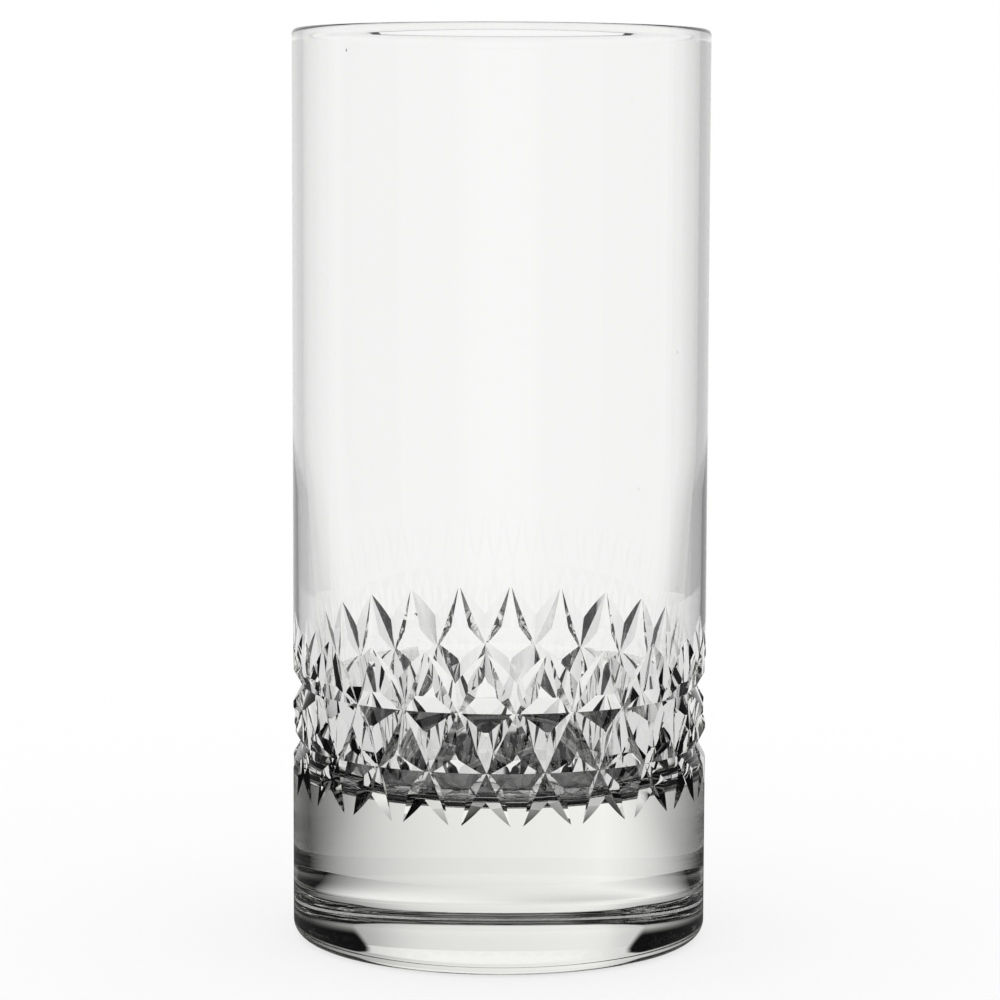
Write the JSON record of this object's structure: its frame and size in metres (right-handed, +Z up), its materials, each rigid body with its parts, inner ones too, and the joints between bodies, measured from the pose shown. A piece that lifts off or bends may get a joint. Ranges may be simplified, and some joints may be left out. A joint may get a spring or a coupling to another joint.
{
  "type": "highball glass",
  "caption": "Tall straight clear highball glass with a thick solid base and a band of cut stars and diamonds round its lower part.",
  "frame": {"origin": "centre of the base, on the surface the glass stands on", "axes": "+Z up along the turning axis through the rim; +X points at a star of the upper row"},
  "size_m": [0.068, 0.068, 0.1486],
  "materials": {
    "clear_glass": "polished"
  },
  "bodies": {
    "root": {"tumbler": "clear_glass"}
  },
  "joints": []
}
